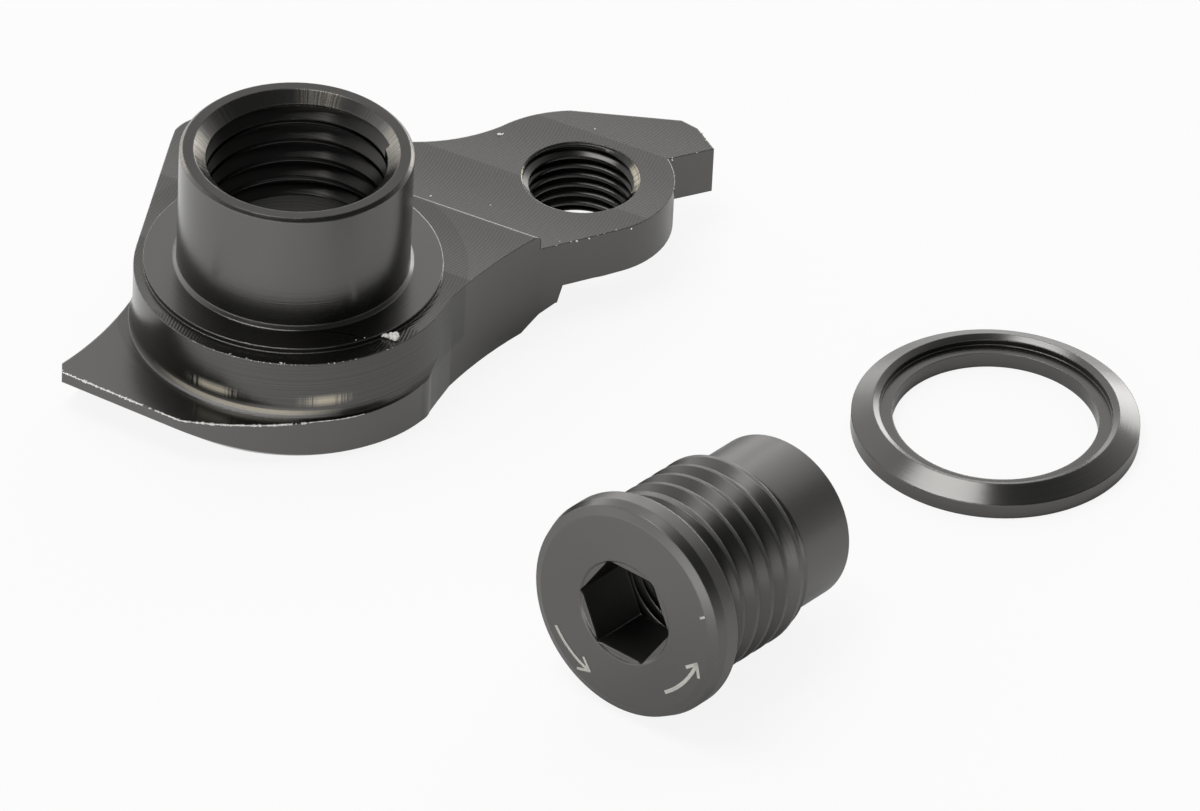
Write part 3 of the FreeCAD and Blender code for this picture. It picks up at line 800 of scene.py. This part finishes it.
class HANGER_OT_add_burrs(bpy.types.Operator):
    """Add the bright burrs that the cutter left along the hanger's edges"""
    bl_idname = "hanger.add_burrs"
    bl_label = "Add Burrs"

    def execute(self, context):
        dice = random.Random(4)
        bm = bmesh.new()
        foot = edge_stretch(FOOT_TOP, FOOT_BURRS)
        foot.sort(key=lambda item: azimuth(item[0]))
        fin = [item for item in foot if azimuth(item[0]) < FIN_END]
        front = [item for item in foot if azimuth(item[0]) >= FIN_END]
        ragged_burr(bm, fin, size=0.2 * MM, chance=0.96, dice=dice)
        ragged_burr(bm, front, size=0.09 * MM, chance=0.6, dice=dice)
        scatter_flakes(bm, fin, 0.16, (0.1, 0.22), dice)
        scatter_flakes(bm, edge_stretch(HEAD_TOP, HEAD_FLAKES), 0.1, (0.05, 0.1), dice)
        scatter_flakes(bm, top_edges("hanger", ARM_TOP), 0.04, (0.05, 0.1), dice, reach=0.0)
        rim = BARREL_CENTRE + UP * (RIM_HEIGHT - RIM_SPECK_SIZE / 2)
        for angle in RIM_SPECKS:
            flake(bm, rim + polar(RIM_SPECK_RADIUS, angle), RIM_SPECK_SIZE, dice)
        for level, specks in ((SEAT_TOP, SEAT_SPECKS), (HEAD_TOP, HEAD_SPECKS), (ARM_TOP, ARM_SPECKS)):
            for across, ahead, size in specks:
                flake(bm, Vector((across * MM, ahead * MM, level)), size * MM, dice)
        new_piece("edge_burrs", bm, bare_aluminium())
        return {"FINISHED"}


class HANGER_OT_drop_crumb(bpy.types.Operator):
    """Lay the small pale crumb that sits in front of the seat"""
    bl_idname = "hanger.drop_crumb"
    bl_label = "Drop the Crumb"

    def execute(self, context):
        dice = random.Random(7)
        bm = bmesh.new()
        raised = 0.4                # of its radius that a lump's centre lies over the crumb's level
        for across, ahead, size in CRUMB_LUMPS:
            centre = Vector((across, ahead, CRUMB_LEVEL + size * raised)) * MM
            spot = Matrix.Translation(centre)
            made = bmesh.ops.create_icosphere(bm, subdivisions=2, radius=size * MM, matrix=spot)
            for vert in made["verts"]:
                vert.co = centre + (vert.co - centre) * dice.uniform(0.6, 1.15)
        new_piece("pale_crumb", bm, pale_matte("Chip of white paint", "#fbfaf4"))
        return {"FINISHED"}


class HANGER_OT_scratch_seat(bpy.types.Operator):
    """Draw the fine bright scratch that crosses the seat"""
    bl_idname = "hanger.scratch_seat"
    bl_label = "Scratch the Seat"

    def execute(self, context):
        bm = bmesh.new()
        start, middle, end = (Vector((across * MM, ahead * MM, SEAT_TOP)) for across, ahead in SCRATCH)
        steps = 16
        points = [start.lerp(middle, i / steps).lerp(middle.lerp(end, i / steps), i / steps)
                  for i in range(steps + 1)]
        stroke(bm, points, width=0.05 * MM, height=-0.012 * MM)
        new_piece("seat_scratch", bm, bare_aluminium())
        return {"FINISHED"}


def table_material():
    """White paper over the table: matte, and shown lighter than it is lit, with its soft shadows.

    To glossy rays it glows, a painted pool of light: the metal mirrors it white to the left of the
    barrel, and dim to its right.
    """
    stage = bpy.context.scene.hanger_stage
    material = new_material("Paper, white matte")
    tree = material.node_tree
    paper = add_node(tree, "ShaderNodeBsdfDiffuse", {"Color": (*stage.table, 1)})
    white = add_node(tree, "ShaderNodeEmission", {"Color": (1, 1, 1, 1), "Strength": 1.0})
    position = add_node(tree, "ShaderNodeNewGeometry", output="Position")
    # Painted pool of light: to glossy rays the paper glows white towards the left and dims to the right
    leftward = add_node(tree, VECTOR, {0: position, 1: heading(-95)}, "Value",
                        operation="DOT_PRODUCT")
    mirrored = add_node(tree, RAMP, {"Value": leftward, "From Min": -0.02, "From Max": 0.015,
                                     "To Min": 0.15, "To Max": 1.0})
    path = add_node(tree, "ShaderNodeLightPath").node.outputs
    seen = add_node(tree, MATH, {0: path["Is Camera Ray"], 1: path["Is Transmission Ray"]},
                    operation="MAXIMUM")
    share = product(tree, seen, PAPER_WHITENED)
    share = add_node(tree, MATH, {0: path["Is Glossy Ray"], 1: mirrored, 2: share},
                     operation="MULTIPLY_ADD")
    mixed = add_node(tree, "ShaderNodeMixShader", {0: share, 1: paper, 2: white})
    add_node(tree, "ShaderNodeOutputMaterial", {"Surface": mixed})
    return material


def studio_world():
    """A studio: white backdrop behind and to the left, which the metal mirrors, and a dark room.

    The background itself is plain white. Each light in the room has its heading in degrees, the
    cosines off it where it has gone and where it is full, how it rises, and what it adds.
    """
    stage = bpy.context.scene.hanger_stage
    world = bpy.data.worlds.new("Studio")
    world.use_nodes = True
    tree = world.node_tree
    tree.nodes.clear()
    towards = add_node(tree, "ShaderNodeTexCoord", output="Generated")
    height = add_node(tree, "ShaderNodeSeparateXYZ", {0: towards}, "Z")
    low = add_node(tree, RAMP, {"Value": height, "From Min": 0.5, "From Max": 0.12},
                   interpolation_type="SMOOTHSTEP")
    level = add_node(tree, MATH, {0: low, 1: stage.horizon, 2: stage.room}, operation="MULTIPLY_ADD")
    lights = ((-20, -0.1, 0.62, 1.0, stage.backdrop), (-15, 0.3, 0.95, low, stage.glow),
              (-150, 0.45, 0.95, low, stage.near_glow))
    for degrees, none, full, rise, gain in lights:
        facing = add_node(tree, VECTOR, {0: towards, 1: heading(degrees)}, "Value",
                          operation="DOT_PRODUCT")
        lit = add_node(tree, RAMP, {"Value": facing, "From Min": none, "From Max": full})
        level = add_node(tree, MATH, {0: product(tree, lit, rise), 1: gain, 2: level},
                         operation="MULTIPLY_ADD")
    path = add_node(tree, "ShaderNodeLightPath").node.outputs
    seen = add_node(tree, MATH, {0: path["Is Camera Ray"], 1: path["Is Transmission Ray"]},
                    operation="MAXIMUM")
    shown = add_node(tree, RAMP, {"Value": seen, "To Min": level, "To Max": 1.0})
    light = add_node(tree, "ShaderNodeBackground", {"Color": (1, 1, 1, 1), "Strength": shown})
    add_node(tree, "ShaderNodeOutputWorld", {"Surface": light})
    return world


def add_softbox(name, direction, distance, width, height, power):
    """A soft rectangular lamp that looks at the middle of the table from a direction."""
    light = bpy.data.lights.new(name, "AREA")
    light.shape = "RECTANGLE"
    light.size = width
    light.size_y = height
    light.energy = power
    lamp = bpy.data.objects.new(name, light)
    lamp.location = TABLE_MIDDLE + direction * distance
    lamp.rotation_euler = (-direction).to_track_quat("-Z", "Y").to_euler()
    lamp.visible_camera = False
    bpy.context.scene.collection.objects.link(lamp)


class HANGER_OT_set_stage(bpy.types.Operator):
    """Set the white table, the soft lamps and the camera"""
    bl_idname = "hanger.set_stage"
    bl_label = "Set the Stage"

    def execute(self, context):
        scene = context.scene
        stage = scene.hanger_stage
        bm = bmesh.new()
        bmesh.ops.create_grid(bm, x_segments=1, y_segments=1, size=3.0)
        mesh = bpy.data.meshes.new("table")
        bm.to_mesh(mesh)
        bm.free()
        mesh.materials.append(table_material())
        table = bpy.data.objects.new("table", mesh)
        scene.collection.objects.link(table)

        scene.world = studio_world()
        add_softbox("key", heading(-99, 75), distance=0.7, width=0.36, height=0.36,
                    power=stage.key_power)
        add_softbox("side", heading(24, 12), distance=0.65, width=0.42, height=0.24,
                    power=stage.side_power)

        camera_data = bpy.data.cameras.new("camera")
        camera_data.lens = CAMERA_LENS
        camera = bpy.data.objects.new("camera", camera_data)
        ahead = heading(0, -CAMERA_DIP)
        turn = Matrix((RIGHT, RIGHT.cross(ahead), -ahead)).transposed().to_4x4()
        lean = Matrix.Rotation(math.radians(CAMERA_LEAN), 4, "Z")
        camera.matrix_world = Matrix.Translation(CAMERA_PLACE) @ turn @ lean
        scene.collection.objects.link(camera)
        scene.camera = camera
        scene.view_settings.view_transform = "Standard"
        return {"FINISHED"}


class HANGER_PT_looks(bpy.types.Panel):
    """Steps and settings of the hanger's looks"""
    bl_label = "Derailleur Hanger"
    bl_idname = "HANGER_PT_looks"
    bl_space_type = "VIEW_3D"
    bl_region_type = "UI"
    bl_category = "Hanger"

    def draw(self, context):
        layout = self.layout
        scene = context.scene
        for settings in (scene.hanger_finish, scene.hanger_threads, scene.hanger_stage):
            box = layout.box()
            for name in settings.__annotations__:
                box.prop(settings, name)
        for step in STEPS:
            layout.operator(step.bl_idname)


STEPS = (HANGER_OT_finish_pieces, HANGER_OT_cut_hole_thread, HANGER_OT_cut_axle_thread,
         HANGER_OT_print_arrows, HANGER_OT_add_burrs, HANGER_OT_drop_crumb, HANGER_OT_scratch_seat,
         HANGER_OT_set_stage)
CLASSES = (FinishSettings, ThreadSettings, StageSettings, *STEPS, HANGER_PT_looks)


def register():
    for cls in CLASSES:
        bpy.utils.register_class(cls)
    bpy.types.Scene.hanger_finish = PointerProperty(type=FinishSettings)
    bpy.types.Scene.hanger_threads = PointerProperty(type=ThreadSettings)
    bpy.types.Scene.hanger_stage = PointerProperty(type=StageSettings)


def unregister():
    del bpy.types.Scene.hanger_stage
    del bpy.types.Scene.hanger_threads
    del bpy.types.Scene.hanger_finish
    for cls in reversed(CLASSES):
        bpy.utils.unregister_class(cls)


def main():
    register()
    bpy.ops.hanger.finish_pieces()
    bpy.ops.hanger.cut_hole_thread()
    bpy.ops.hanger.cut_axle_thread()
    bpy.ops.hanger.print_arrows()
    bpy.ops.hanger.add_burrs()
    bpy.ops.hanger.drop_crumb()
    bpy.ops.hanger.scratch_seat()
    bpy.ops.hanger.set_stage()


if __name__ == "__main__":
    main()
